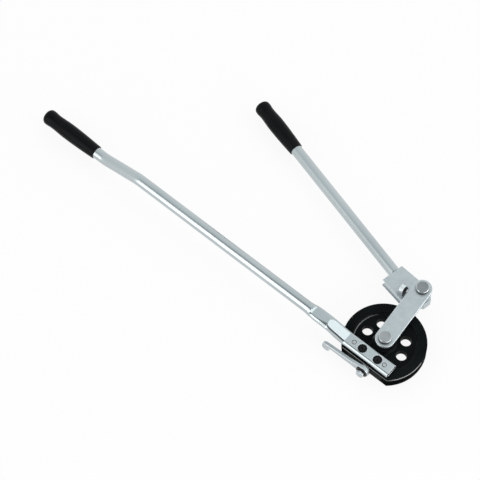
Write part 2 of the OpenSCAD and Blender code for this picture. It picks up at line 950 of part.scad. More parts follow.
module stop_lug() {
    lug_edge = 1;
    color("#c2c7ca")
        on_stop()
            difference() {
                translate([lug_start, lug_along - lug_w / 2, shoe_top])
                    rotate([90, 0, 90])
                        linear_extrude(lug_t)
                            polygon([[0, 0], [lug_w, 0], [lug_w, lug_h - lug_edge],
                                [lug_w - lug_edge, lug_h], [lug_edge, lug_h], [0, lug_h - lug_edge]]);
                translate([0, lug_along, stop_z])
                    rod_x(stop_r + seat_clear, 2 * lug_start + lug_t);
            }
}

module stop_screw() {
    stop_len = lug_gap - stop_touch + lug_t + stop_tail;
    color("#17181a")
        on_stop()
            translate([link_w / 2 + stop_touch, lug_along, stop_z])
                rotate([0, 90, 0])
                    chamfered_disc(stop_r, stop_len, stop_touch);
}

module stop_nut() {
    color("#1c1d1f")
        on_stop()
            difference() {
                translate([lug_start - stop_nut_t, lug_along, stop_z])
                    rotate([0, 90, 0])
                        hexagon(stop_nut_af, stop_nut_t);
                translate([0, lug_along, stop_z])
                    rod_x(stop_r + seat_clear, 2 * lug_start);
            }
}

form_wheel();
hub_bush();
handle_foot();
fixed_handle();
seat_filler();
seat_screws();
seat_dowels();
fixed_grip();
hook_spacer();
hook_bolt();
hook_washer();
hook_bar();
link_plate();
hub_pin();
hub_collar();
hub_washer();
hub_ring();
shoe_pin();
shoe_collar();
shoe_washer();
shoe_ring();
shoe_block();
shoe_bush();
lever_stub();
lever_tube();
lever_cross_pin();
lever_grip_cover();
stop_lug();
stop_screw();
stop_nut();
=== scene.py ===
# %% [markdown]
# A lever tube bender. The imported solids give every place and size. This lesson gives them their
# finishes, and remodels the pieces whose shape needs softer edges than the solids have.

# %% Load the frame
import math

import bpy
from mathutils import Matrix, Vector


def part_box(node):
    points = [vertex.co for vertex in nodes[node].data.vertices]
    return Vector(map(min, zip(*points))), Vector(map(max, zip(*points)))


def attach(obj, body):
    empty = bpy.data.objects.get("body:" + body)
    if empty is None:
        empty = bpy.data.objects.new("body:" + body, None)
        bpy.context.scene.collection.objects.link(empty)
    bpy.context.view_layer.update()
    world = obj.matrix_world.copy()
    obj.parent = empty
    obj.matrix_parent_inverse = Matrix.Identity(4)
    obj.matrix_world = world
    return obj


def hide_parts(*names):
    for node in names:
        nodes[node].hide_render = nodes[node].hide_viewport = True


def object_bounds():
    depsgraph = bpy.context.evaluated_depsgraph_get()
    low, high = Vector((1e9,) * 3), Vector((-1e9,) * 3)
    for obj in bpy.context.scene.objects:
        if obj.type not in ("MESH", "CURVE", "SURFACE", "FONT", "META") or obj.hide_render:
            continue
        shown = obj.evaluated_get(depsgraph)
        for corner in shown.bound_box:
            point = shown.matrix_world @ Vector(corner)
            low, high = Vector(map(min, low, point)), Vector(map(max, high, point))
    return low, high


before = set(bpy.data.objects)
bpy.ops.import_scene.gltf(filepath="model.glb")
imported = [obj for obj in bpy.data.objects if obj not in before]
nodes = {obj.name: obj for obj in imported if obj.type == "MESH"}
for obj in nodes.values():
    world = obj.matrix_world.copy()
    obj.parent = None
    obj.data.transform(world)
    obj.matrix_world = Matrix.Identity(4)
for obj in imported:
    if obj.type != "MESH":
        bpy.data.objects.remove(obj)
solid_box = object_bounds()
print("solids loaded:", len(nodes))

# %% [markdown]
# Lengths are easiest to follow in millimetres, as on a workshop drawing, so one value turns them
# into Blender's metres.

# %% Sizes shared by several pieces
mm = 0.001
same_place = 1e-6
facing = 0.99
handle_r = 11.1 * mm
handle_wall = 2.6 * mm
seat_y = -40.2 * mm
form_top = 11.25 * mm
link_turn = math.radians(94.8)
link_len = 120 * mm
link_rise = 20.75 * mm
link_t = 6 * mm
shoe_turn = math.radians(168.5)
lever_tilt = math.radians(3.9)
lever_turn = shoe_turn - lever_tilt
shoe_pin_at = Vector((link_len * math.cos(link_turn), link_len * math.sin(link_turn), 0))
print("shoe pin at", [round(c, 4) for c in shoe_pin_at])

# %% [markdown]
# The camera stands where the photo was taken from: well above the tool and some way to its right,
# far off with a long lens, which keeps the two handles from leaning together.

# %% Camera
view_azimuth = math.radians(40.33)
view_elevation = math.radians(62.39)
view_distance = 4.0
view_aim = Vector((-0.3311, -0.0063, 0.0))
sensor_mm = 36
lens_mm = 164.66
far_limit = 60
view_back = Vector((
    math.sin(view_azimuth) * math.cos(view_elevation),
    -math.cos(view_azimuth) * math.cos(view_elevation),
    math.sin(view_elevation)))
bpy.ops.object.camera_add(location=view_aim + view_back * view_distance)
camera = bpy.context.object
camera.rotation_euler = view_back.to_track_quat("Z", "Y").to_euler()
camera.data.sensor_width = sensor_mm
camera.data.lens = lens_mm
camera.data.clip_end = far_limit
bpy.context.scene.camera = camera
bpy.context.scene.view_settings.view_transform = "Standard"
print("camera at", [round(c, 3) for c in camera.location])

# %% [markdown]
# Shader nodes are added many times below. This helper adds one and sets its sockets by name, and
# the second one joins two sockets.

# %% Node helpers
def add_node(tree, kind, **sockets):
    made = tree.nodes.new(kind)
    for name, value in sockets.items():
        made.inputs[name.replace("_", " ")].default_value = value
    return made


def join(tree, out_socket, in_socket):
    tree.links.new(out_socket, in_socket)


def span(tree, source, low, high, from_low=0.0, from_high=1.0):
    ranged = add_node(tree, "ShaderNodeMapRange", From_Min=from_low, From_Max=from_high,
                      To_Min=low, To_Max=high)
    join(tree, source, ranged.inputs["Value"])
    return ranged.outputs["Result"]


print("node helpers ready")

# %% [markdown]
# The tool was photographed in a white tent. The world is a soft sky, white at the horizon and a
# little greyer overhead, so that the plated tubes have something to mirror. A tent has one dark
# opening for the lens, and polished bends show it as a thin black line, so the sky has one too.

# %% World
horizon_end = 0.2
horizon_white = (1, 1, 1, 1)
overhead_start = 0.9
overhead_grey = (0.84, 0.89, 0.90, 1)
opening_edge = math.radians(46)
opening_core = math.radians(20)
opening_light = 0.03
world = bpy.data.worlds.new("white_tent")
world.use_nodes = True
bpy.context.scene.world = world
tent = world.node_tree
direction = add_node(tent, "ShaderNodeTexCoord")
split = add_node(tent, "ShaderNodeSeparateXYZ")
join(tent, direction.outputs["Generated"], split.inputs["Vector"])
sky = add_node(tent, "ShaderNodeValToRGB")
sky.color_ramp.elements[0].position = horizon_end
sky.color_ramp.elements[0].color = horizon_white
sky.color_ramp.elements[1].position = overhead_start
sky.color_ramp.elements[1].color = overhead_grey
join(tent, split.outputs["Z"], sky.inputs["Fac"])
towards_lens = add_node(tent, "ShaderNodeVectorMath")
towards_lens.operation = "DOT_PRODUCT"
join(tent, direction.outputs["Generated"], towards_lens.inputs[0])
towards_lens.inputs[1].default_value = view_back
opening = span(tent, towards_lens.outputs["Value"], 1.0, opening_light,
               math.cos(opening_edge), math.cos(opening_core))
join(tent, sky.outputs["Color"], tent.nodes["Background"].inputs["Color"])
join(tent, opening, tent.nodes["Background"].inputs["Strength"])
print("world ready")

# %% [markdown]
# The floor is a white sheet just under the lowest point. Most of its white is its own for the rays
# that the eye and the metal see, and the rest is lit, so a faint shadow stays under the tool.

# %% Floor
floor_gap = 0.5 * mm
floor_size = 24
sheet_colour = (0.9, 0.9, 0.9, 1)
sheet_rough = 0.9
sheet_shine = 0.1
own_share = 0.9


def deselect():
    bpy.ops.object.select_all(action="DESELECT")


floor_z = solid_box[0][2] - floor_gap
deselect()
bpy.ops.mesh.primitive_plane_add(size=floor_size, location=(0, 0, floor_z))
floor = bpy.context.object
floor.name = "floor"
sheet_white = bpy.data.materials.new("sheet_white")
sheet_white.use_nodes = True
sheet = sheet_white.node_tree
lit_white = sheet.nodes["Principled BSDF"]
lit_white.inputs["Base Color"].default_value = sheet_colour
lit_white.inputs["Roughness"].default_value = sheet_rough
lit_white.inputs["Specular IOR Level"].default_value = sheet_shine
own_white = add_node(sheet, "ShaderNodeEmission", Strength=1.0)
ray = add_node(sheet, "ShaderNodeLightPath")
seen = add_node(sheet, "ShaderNodeMath")
seen.operation = "MAXIMUM"
join(sheet, ray.outputs["Is Camera Ray"], seen.inputs[0])
join(sheet, ray.outputs["Is Glossy Ray"], seen.inputs[1])
seen_through = add_node(sheet, "ShaderNodeMath")
seen_through.operation = "MAXIMUM"
join(sheet, seen.outputs["Value"], seen_through.inputs[0])
join(sheet, ray.outputs["Is Transmission Ray"], seen_through.inputs[1])
share = span(sheet, seen_through.outputs["Value"], 0.0, own_share)
blend = add_node(sheet, "ShaderNodeMixShader")
join(sheet, share, blend.inputs["Fac"])
join(sheet, lit_white.outputs["BSDF"], blend.inputs[1])
join(sheet, own_white.outputs["Emission"], blend.inputs[2])
join(sheet, blend.outputs["Shader"], sheet.nodes["Material Output"].inputs["Surface"])
floor.data.materials.append(sheet_white)
print("floor at", round(floor_z, 4))

# %% [markdown]
# Three soft lamps stand well back. The front one draws the long white line along the fixed handle
# and lights the near faces. The one overhead whitens the sloping flat where the handle is pressed,
# and leaves the level faces grey. The one at the right draws the bright line along the form's rim.

# %% Lamps
def soft_lamp(name, towards, distance, width, height, brightness):
    data = bpy.data.lights.new(name, "AREA")
    data.shape = "RECTANGLE"
    data.size = width
    data.size_y = height
    data.energy = brightness * math.pi * width * height
    lamp = bpy.data.objects.new(name, data)
    bpy.context.scene.collection.objects.link(lamp)
    lamp.location = view_aim + Vector(towards).normalized() * distance
    lamp.rotation_euler = Vector(towards).to_track_quat("Z", "Y").to_euler()
    return lamp


front_lamp = soft_lamp("front_lamp", towards=(-0.28, -0.81, 0.51), distance=6.0,
                       width=2.0, height=6.0, brightness=1.8)
top_lamp = soft_lamp("top_lamp", towards=(0.30, 0.40, 0.87), distance=5.0,
                     width=2.8, height=2.8, brightness=1.05)
right_lamp = soft_lamp("right_lamp", towards=(0.94, 0.0, 0.34), distance=5.0,
                       width=5.5, height=2.4, brightness=3.0)
print("lamps:", front_lamp.name, top_lamp.name, right_lamp.name)

# %% [markdown]
# Every finish starts the same way: a pattern on Object coordinates, which stays on its piece when
# the piece moves. The pattern tints the colour, varies the gloss and raises a fine relief. Edges
# take a lighter finish of their own, laid on the narrow faces that a bevel makes: partly wear and
# partly painted highlight.

# %% Finish helpers
tint_low = 0.3
tint_high = 0.7


def start_finish(name, metallic, specular):
    finish = bpy.data.materials.new(name)
    finish.use_nodes = True
    tree = finish.node_tree
    shader = tree.nodes["Principled BSDF"]
    shader.inputs["Metallic"].default_value = metallic
    shader.inputs["Specular IOR Level"].default_value = specular
    return finish, tree, shader


def placed(tree, turn=0.0, stretch=(1, 1, 1), centre=(0, 0, 0)):
    coords = add_node(tree, "ShaderNodeTexCoord")
    centred = add_node(tree, "ShaderNodeVectorMath")
    centred.operation = "SUBTRACT"
    centred.inputs[1].default_value = centre
    join(tree, coords.outputs["Object"], centred.inputs[0])
    turned = add_node(tree, "ShaderNodeMapping", Scale=stretch)
    turned.vector_type = "POINT"
    turned.inputs["Rotation"].default_value = (0, 0, -turn)
    join(tree, centred.outputs["Vector"], turned.inputs["Vector"])
    return turned.outputs["Vector"]


def grain(tree, where, scale, detail=3.0, rough=0.55):
    noise = add_node(tree, "ShaderNodeTexNoise", Scale=scale, Detail=detail, Roughness=rough)
    join(tree, where, noise.inputs["Vector"])
    return noise.outputs["Fac"]


def tint(tree, factor, dark, light):
    ramp = add_node(tree, "ShaderNodeValToRGB")
    ramp.color_ramp.elements[0].position = tint_low
    ramp.color_ramp.elements[0].color = (*dark, 1)
    ramp.color_ramp.elements[1].position = tint_high
    ramp.color_ramp.elements[1].color = (*light, 1)
    join(tree, factor, ramp.inputs["Fac"])
    return ramp.outputs["Color"]


def rub(tree, height, strength, depth):
    bump = add_node(tree, "ShaderNodeBump", Strength=strength, Distance=depth)
    join(tree, height, bump.inputs["Height"])
    return bump.outputs["Normal"]


print("finish helpers ready")

# %% [markdown]
# The handle tubes are drawn steel with a satin plating. Drawing leaves hair lines along the tube,
# so the grain is stretched along the tube's own direction. A broad cloud of wear varies the gloss.

# %% Plated tube
hair_lines = (14, 900, 900)
hair_depth = 0.2 * mm
plating_clouds = 9.0
plating_dark = (0.46, 0.51, 0.525)
plating_light = (0.52, 0.57, 0.585)


def plated_tube(name, turn):
    finish, tree, shader = start_finish(name, 1.0, 0.5)
    along = placed(tree, turn, hair_lines)
    lines = grain(tree, along, 1.0, 4.0)
    clouds = grain(tree, placed(tree), plating_clouds, 4.0)
    join(tree, tint(tree, clouds, plating_dark, plating_light), shader.inputs["Base Color"])
    both = add_node(tree, "ShaderNodeMath")
    both.operation = "ADD"
    join(tree, span(tree, lines, 0.15, 0.27), both.inputs[0])
    join(tree, span(tree, clouds, -0.03, 0.05), both.inputs[1])
    join(tree, both.outputs["Value"], shader.inputs["Roughness"])
    join(tree, rub(tree, lines, 0.05, hair_depth), shader.inputs["Normal"])
    return finish


handle_plating = plated_tube("handle_plating", 0.0)
lever_plating = plated_tube("lever_plating", lever_turn)
print("plated tube finishes ready")

# %% [markdown]
# The link, shoe and hook are zinc plated and left dull. Zinc has a faint mottle and a fine tooth
# that spreads the light. Its edge finish is lighter than the faces: partly rubbed corners and partly
# painted highlight. One function makes them all, and two lighter ones: the stop lug's, which is
# painted light all over, and one for the cut rim of the handle, bare cut metal with a painted highlight.

# %% Dull zinc
zinc_mottle = 70.0
zinc_tooth = 420.0
tooth_depth = 0.12 * mm
mottle_gloss = 0.08


def dull_zinc(name, dark, light, gloss):
    finish, tree, shader = start_finish(name, 1.0, 0.5)
    here = placed(tree)
    mottle = grain(tree, here, zinc_mottle, 5.0)
    tooth = grain(tree, here, zinc_tooth, 3.0)
    join(tree, tint(tree, mottle, dark, light), shader.inputs["Base Color"])
    join(tree, span(tree, mottle, gloss - mottle_gloss, gloss + mottle_gloss), shader.inputs["Roughness"])
    join(tree, rub(tree, tooth, 0.06, tooth_depth), shader.inputs["Normal"])
    return finish


zinc = dull_zinc("dull_zinc", (0.475, 0.525, 0.545), (0.55, 0.60, 0.62), 0.47)
# Lighter zinc on the edges: partly rubbed corners, partly painted highlight
zinc_edge = dull_zinc("zinc_edge", (0.66, 0.71, 0.73), (0.76, 0.81, 0.83), 0.30)
# The stop lug is the same zinc painted lighter all over, a lit copy: painted light
lug_zinc_painted_light = dull_zinc("lug_zinc_painted_light", (0.74, 0.79, 0.81), (0.84, 0.88, 0.90), 0.30)
# Bare cut metal, painted brighter as a highlight on the handle's cut rim and countersinks
cut_metal_and_highlight = dull_zinc("cut_metal_and_highlight", (0.78, 0.82, 0.84), (0.86, 0.89, 0.91), 0.75)
print("zinc finishes ready")

# %% [markdown]
# The form is a casting in satin black, with screws and washers blackened and grips moulded in black.
# A low index of refraction keeps the flat faces deep black. The rounds take a finish with a higher
# index, which catches the light as grey lines, and the groove takes a darker one, which is painted shade.

# %% Black finishes
black_clouds = 22.0
black_spread = 0.3
skin_depth = 0.15 * mm


def black_finish(name, colour, gloss, grain_scale, index):
    finish, tree, shader = start_finish(name, 0.0, 0.5)
    shader.inputs["IOR"].default_value = index
    here = placed(tree)
    skin = grain(tree, here, grain_scale, 3.0)
    clouds = grain(tree, here, black_clouds, 4.0)
    dark = tuple((1 - black_spread) * c for c in colour)
    light = tuple((1 + black_spread) * c for c in colour)
    join(tree, tint(tree, clouds, dark, light), shader.inputs["Base Color"])
    join(tree, span(tree, clouds, gloss - 0.06, gloss + 0.08), shader.inputs["Roughness"])
    join(tree, rub(tree, skin, 0.12, skin_depth), shader.inputs["Normal"])
    return finish


form_paint = black_finish("form_paint", (0.0066, 0.0080, 0.0086), 0.30, 420.0, 1.06)
form_edge = black_finish("form_edge", (0.008, 0.009, 0.010), 0.22, 300.0, 1.16)
rim_edge = black_finish("rim_edge", (0.010, 0.011, 0.012), 0.18, 300.0, 1.9)
# Darker black in the tube groove: painted shade
groove_painted_shade = black_finish("groove_painted_shade", (0.003, 0.0035, 0.0038), 0.24, 300.0, 1.12)
black_oxide = black_finish("black_oxide", (0.004, 0.0045, 0.005), 0.30, 700.0, 1.20)
oxide_edge = black_finish("oxide_edge", (0.02, 0.021, 0.022), 0.24, 700.0, 1.70)
grip_skin = black_finish("grip_skin", (0.0036, 0.0044, 0.0050), 0.36, 500.0, 1.18)
# Near-black inside the tube's slot and the dowel holes: painted shade
tube_inside_painted_shade = black_finish("tube_inside_painted_shade", (0.012, 0.012, 0.013), 0.60, 500.0, 1.20)
print("black finishes ready")

# %% [markdown]
# Pins and collars are turned steel. A lathe leaves rings round the axis, so their grain is a set
# of rings centred on each pin. The bushes are bronze, turned in the same way.

# %% Turned metal
lathe_rings = 420.0
lathe_depth = 0.05 * mm
turned_clouds = 60.0


def turned_metal(name, centre, dark, light, gloss):
    finish, tree, shader = start_finish(name, 1.0, 0.5)
    here = placed(tree, centre=centre)
    rings = add_node(tree, "ShaderNodeTexWave", Scale=lathe_rings, Distortion=1.5, Detail=2.0)
    rings.wave_type = "RINGS"
    rings.rings_direction = "Z"
    join(tree, here, rings.inputs["Vector"])
    clouds = grain(tree, here, turned_clouds, 4.0)
    join(tree, tint(tree, clouds, dark, light), shader.inputs["Base Color"])
    join(tree, span(tree, rings.outputs["Fac"], gloss - 0.05, gloss + 0.07), shader.inputs["Roughness"])
    join(tree, rub(tree, rings.outputs["Fac"], 0.06, lathe_depth), shader.inputs["Normal"])
    return finish


pin_polish = turned_metal("pin_polish", (0, 0, 0), (0.60, 0.62, 0.64), (0.72, 0.74, 0.76), 0.14)
hub_steel = turned_metal("hub_steel", (0, 0, 0), (0.33, 0.35, 0.36), (0.41, 0.43, 0.44), 0.32)
shoe_steel = turned_metal("shoe_steel", shoe_pin_at, (0.23, 0.25, 0.265), (0.30, 0.32, 0.335), 0.34)
plain_steel = turned_metal("plain_steel", (0, seat_y, 0), (0.46, 0.47, 0.48), (0.56, 0.57, 0.58), 0.33)
bronze = turned_metal("bronze", (0, 0, 0), (0.44, 0.30, 0.13), (0.56, 0.40, 0.18), 0.36)
print("turned finishes ready")

# %% [markdown]
# Modelling with operators works on what is selected. The first helpers give the operators used most a
# short name. The others leave one piece selected, pick its faces, edges or corners by a test on their
# place, and settle a finished piece: its place goes into its mesh, and edges that turn sharply stay
# crisp while the rest is shaded smooth.

# %% Operator helpers
def select_all():
    bpy.ops.mesh.select_all(action="SELECT")


def leave_edit():
    bpy.ops.object.mode_set(mode="OBJECT")


def push(way):
    bpy.ops.mesh.extrude_region_move(TRANSFORM_OT_translate={"value": way})


def widen(times):
    bpy.ops.transform.resize(value=(times, times, 1))


def bevel_edges(width, segments, finish_slot=-1):
    bpy.ops.mesh.bevel(offset=width, offset_type="OFFSET", segments=segments, affect="EDGES",
                       material=finish_slot)


def trim(through, outward):
    # Cut by a plane, drop what lies outward of it, and close the cut
    bpy.ops.mesh.bisect(plane_co=through, plane_no=outward, use_fill=True, clear_outer=True)


def face_outwards():
    bpy.ops.mesh.normals_make_consistent(inside=False)


print("operator helpers ready")

# %% Modelling helpers
crisp_angle = math.radians(32)
round_sides = 96
# Where a piece has a finish for its edges, it is the second one
edge_slot = 1


def only(piece):
    deselect()
    piece.select_set(True)
    bpy.context.view_layer.objects.active = piece


def pick(piece, kind, test):
    if piece.mode == "EDIT":
        leave_edit()
    mesh = piece.data
    for parts in (mesh.vertices, mesh.edges, mesh.polygons):
        parts.foreach_set("select", [False] * len(parts))
    spots = {"VERT": mesh.vertices, "EDGE": mesh.edges, "FACE": mesh.polygons}[kind]
    for part in spots:
        part.select = test(part)
    bpy.context.tool_settings.mesh_select_mode = (kind == "VERT", kind == "EDGE", kind == "FACE")
    bpy.ops.object.mode_set(mode="EDIT")


def pick_all(piece):
    pick(piece, "FACE", lambda face: True)


def edge_test(piece, test):
    corners = piece.data.vertices
    return lambda edge: all(test(corners[i].co) for i in edge.vertices)


def is_level(piece, edge):
    first, second = (piece.data.vertices[i].co for i in edge.vertices)
    return abs(first.z - second.z) < same_place


def apply_place(piece):
    only(piece)
    bpy.ops.object.transform_apply(location=True, rotation=True, scale=True)


def apply_modifier(piece, kind, **settings):
    only(piece)
    modifier = piece.modifiers.new(kind.lower(), kind)
    for name, value in settings.items():
        setattr(modifier, name, value)
    bpy.ops.object.modifier_apply(modifier=modifier.name)


def cut_away(piece, cutter):
    apply_modifier(piece, "BOOLEAN", operation="DIFFERENCE", solver="EXACT", object=cutter)
    bpy.data.objects.remove(cutter)


def add_on(piece, lump):
    apply_modifier(piece, "BOOLEAN", operation="UNION", solver="EXACT", object=lump)
    bpy.data.objects.remove(lump)


def lay(piece, *finishes):
    piece.data.materials.clear()
    for finish in finishes:
        piece.data.materials.append(finish)


def settle(piece, body, slot, *replaced):
    if piece.mode == "EDIT":
        leave_edit()
    apply_place(piece)
    bpy.ops.object.shade_smooth_by_angle(angle=crisp_angle)
    apply_modifier(piece, "WEIGHTED_NORMAL", keep_sharp=True)
    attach(piece, body)
    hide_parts(*replaced)
    print(piece.name, "has", len(piece.data.polygons), "faces")


def add_cylinder(name, r, depth, location=(0, 0, 0), sides=round_sides, turn=0.0):
    deselect()
    bpy.ops.mesh.primitive_cylinder_add(vertices=sides, radius=r, depth=depth, location=location,
                                        rotation=(0, 0, turn))
    piece = bpy.context.object
    piece.name = name
    apply_place(piece)
    return piece


def ringed(piece, cuts):
    # Cut every edge that runs along Z into equal parts
    pick(piece, "EDGE", lambda edge: not is_level(piece, edge))
    bpy.ops.mesh.subdivide(number_cuts=cuts)
    leave_edit()


def ring_number(corner, last):
    # A cylinder one unit high has its first ring half a unit below its middle
    return round((corner.co.z + 0.5) * last)


def ease(part):
    return (1 - math.cos(math.pi * min(1, max(0, part)))) / 2


print("modelling helpers ready")

# %% [markdown]
# The fixed handle is one tube. Its end was pressed flat and screwed to the form. Beyond the form
# the pressed part slopes up to a raised flat, pinched where it bends, and a short step leads from
# there to the round tube. Further on the tube is set down towards the form's own plane. The model
# starts as a cylinder cut into rings, and each ring is laid on the path with its own section.

# %% Sections along the fixed handle
press_t = 12 * mm
press_reach = 46.5 * mm
press_start = 53 * mm
press_run = 42.5 * mm
press_tip = 10
shoulder_t = 13 * mm
shoulder_lift = 0.9 * mm
shoulder_len = 35.5 * mm
step_run = 2.5 * mm
round_run = 12.5 * mm
pinch_flat = 2.2 * mm
pinch_run = 22 * mm
side_lead = 12 * mm
rim_r = 76 * mm
rim_clear = 1 * mm
handle_rise = 23.6 * mm
grip_rise = 3 * mm
set_start = 539 * mm
set_angle = math.radians(14)
set_r = 60 * mm
set_tail = 15.5 * mm
grip_overlap = 20 * mm
press_flat = math.pi * (handle_r - press_t / 2) / 2
press_half_w = press_flat + press_t / 2
shoulder_flat = math.pi * (handle_r - shoulder_t / 2) / 2
shoulder_half_w = shoulder_flat + shoulder_t / 2
shoulder_z = handle_rise + shoulder_lift
step_end = press_run + shoulder_len + step_run
form_clear = math.sqrt(rim_r ** 2 - seat_y ** 2) + rim_clear - press_start
set_drop = set_r * (1 - math.cos(set_angle))
set_slant = (handle_rise - grip_rise - 2 * set_drop) / math.sin(set_angle)
set_end = set_start + 2 * set_r * math.sin(set_angle) + set_slant * math.cos(set_angle)
grip_mouth = set_end + set_tail


def between(first, second, part):
    return first + (second - first) * part


def part_of(length, whole):
    return min(1, max(0, length / whole))


def top_flat_at(along):
    if along < press_run:
        return max(pinch_flat, press_flat * math.sqrt(1 - part_of(along, press_run) ** press_tip))
    pinch = 1 - part_of(along - press_run, pinch_run)
    step = part_of(along - press_run - shoulder_len, step_run)
    return between(shoulder_flat, pinch_flat, pinch ** 2) * math.sqrt(1 - step ** 2)


def press_section(along):
    # Middle height, half width, half height, and half of the flat above and below
    part = part_of(along, press_run)
    past = along - press_run - shoulder_len
    step = part_of(past, step_run)
    sides = ease((past + side_lead) / (side_lead + step_run + round_run))
    low = ease((along - form_clear) / (press_run - form_clear))
    slope_top = between(form_top + press_t, shoulder_z + shoulder_t / 2, part)
    slope_low = between(form_top, shoulder_z - shoulder_t / 2, low)
    top_z = between(slope_top, handle_rise + handle_r, step)
    low_z = between(slope_low, handle_rise - handle_r, step)
    half_w = between(between(press_half_w, shoulder_half_w, ease(part)), handle_r, sides)
    low_flat = between(press_flat, shoulder_flat, ease(part)) * (1 - sides)
    return (top_z + low_z) / 2, half_w, (top_z - low_z) / 2, top_flat_at(along), low_flat


print("pressed part runs", round(step_end + round_run, 4), "to the round tube")

# %% Rings of the fixed handle
# The pressed part has rings between its holes, so that each hole is cut in faces of its own
seat_rings = (-press_reach, -25.4 * mm, 2 * mm, 30.8 * mm, press_start - 0.6 * mm)
slope_steps, shoulder_steps, step_steps, round_steps = 36, 24, 8, 10
straight_steps = 8
bend_steps = 16


def quarter_sine(step, steps):
    return math.sin(math.pi / 2 * step / steps)


def press_stations():
    slope = [press_run * quarter_sine(k, slope_steps) for k in range(slope_steps)]
    shoulder = [press_run + shoulder_len * k / shoulder_steps for k in range(shoulder_steps)]
    rise = [step_end - step_run * (1 - quarter_sine(k, step_steps)) for k in range(step_steps)]
    rounding = [step_end + round_run * k / round_steps for k in range(round_steps + 1)]
    return slope + shoulder + rise + rounding


def round_section(middle):
    return middle, handle_r, handle_r, 0, 0


def handle_rings():
    # Each ring: distance along X, lean of the tube, and its section
    rings = []
    for x in seat_rings:
        rings.append((x, 0.0, press_section(0)))
    run = press_stations()
    for along in run:
        rings.append((press_start + along, 0.0, press_section(along)))
    first = press_start + run[-1]
    for step in range(1, straight_steps + 1):
        x = first + (set_start - first) * step / straight_steps
        rings.append((x, 0.0, round_section(handle_rise)))
    for step in range(1, bend_steps + 1):
        lean = set_angle * step / bend_steps
        middle = handle_rise - set_r * (1 - math.cos(lean))
        rings.append((set_start + set_r * math.sin(lean), lean, round_section(middle)))
    for step in range(bend_steps + 1):
        lean = set_angle * (1 - step / bend_steps)
        middle = grip_rise + set_r * (1 - math.cos(lean))
        rings.append((set_end - set_r * math.sin(lean), lean, round_section(middle)))
    rings.append((grip_mouth + grip_overlap, 0.0, round_section(grip_rise)))
    return rings


rings = handle_rings()
print("handle rings:", len(rings))

# %% Lay the rings of the fixed handle
handle_sides = 96
handle_tube = add_cylinder("handle_tube", 1.0, 1.0, sides=handle_sides, turn=math.pi / handle_sides)
ringed(handle_tube, len(rings) - 2)
for corner in handle_tube.data.vertices:
    x, lean, section = rings[ring_number(corner, len(rings) - 1)]
    middle, half_w, half_h, top_flat, low_flat = section
    flat = top_flat if corner.co.y > 0 else low_flat
    across = math.copysign(flat, corner.co.x) + (half_w - flat) * corner.co.x
    up = half_h * corner.co.y
    corner.co = (-x - up * math.sin(lean), seat_y - across, middle + up * math.cos(lean))
pick_all(handle_tube)
face_outwards()
leave_edit()
print("handle tube laid, long side", round(max(v.co.x for v in handle_tube.data.vertices), 4))

# %% [markdown]
# Two countersunk screws and two dowels go through the pressed end. Each countersink is cut a little
# wider than its screw, and its cone, cut metal painted bright as a highlight, shows as a thin ring
# round the black head.

# %% Countersinks and dowel holes
seat_top = form_top + press_t
screw_places = (-19 * mm, 15 * mm)
dowel_places = (-37.5 * mm, 30.5 * mm)
head_r = 8.5 * mm
sink_r = 9.3 * mm
sink_depth = 0.5 * mm
shank_r = 4.0 * mm
dowel_hole_r = 4.4 * mm
cutter_h = 1 * mm
cone_depth = 4 * mm
dowel_hole_h = 4 * mm
sink_sides = 64
dowel_sides = 48
for x in screw_places:
    cutter = add_cylinder("countersink", sink_r, cutter_h, (x, seat_y, seat_top + cutter_h / 2), sink_sides)
    lay(cutter, handle_plating)
    pick(cutter, "FACE", lambda face: face.normal.z < -facing)
    push((0, 0, -sink_depth))
    widen(head_r / sink_r)
    push((0, 0, -cone_depth))
    widen(shank_r / head_r)
    leave_edit()
    cut_away(handle_tube, cutter)
for x in dowel_places:
    hole_place = (x, seat_y, seat_top)
    cut_away(handle_tube, add_cylinder("dowel_hole", dowel_hole_r, dowel_hole_h, hole_place, dowel_sides))
print("cut", len(screw_places), "countersinks and", len(dowel_places), "dowel holes")

# %% [markdown]
# The pressed end is open: its cut wall shows as a bright rim round a dark slot. The end face is inset
# by the wall and pushed in twice, and its edges are rounded. Then the rim and the countersinks take
# a bright finish, cut metal with a painted highlight, and the slot and the dowel holes a dark finish,
# which is painted shade.

# %% Open end of the pressed handle
lip_depth = 2.6 * mm
slot_depth = 11.4 * mm
rim_round = 0.5 * mm
pick(handle_tube, "FACE", lambda face: face.normal.x > facing and face.center.x > press_reach - mm)
bpy.ops.mesh.inset(thickness=handle_wall)
push((-lip_depth, 0, 0))
push((lip_depth - slot_depth, 0, 0))
at_end = lambda co: abs(co.x - press_reach) < same_place
pick(handle_tube, "EDGE", edge_test(handle_tube, at_end))
bevel_edges(rim_round, 2)
leave_edit()
apply_modifier(handle_tube, "TRIANGULATE", min_vertices=5)
print("pressed end opened to", slot_depth)

# %% Finish of the fixed handle
plated_slot, painted_shade_slot, cut_slot = 0, 1, 2
face_room = 0.05 * mm
edge_room = 0.02 * mm
rim_band = 0.55 * mm
rim_start = press_reach - rim_band
slot_half_w = press_half_w - handle_wall + face_room
slot_half_h = press_t / 2 - handle_wall + face_room
lay(handle_tube, handle_plating, tube_inside_painted_shade, cut_metal_and_highlight)


def near_any(place, centres, r):
    return any(math.hypot(place.x - x, place.y - seat_y) < r for x in centres)


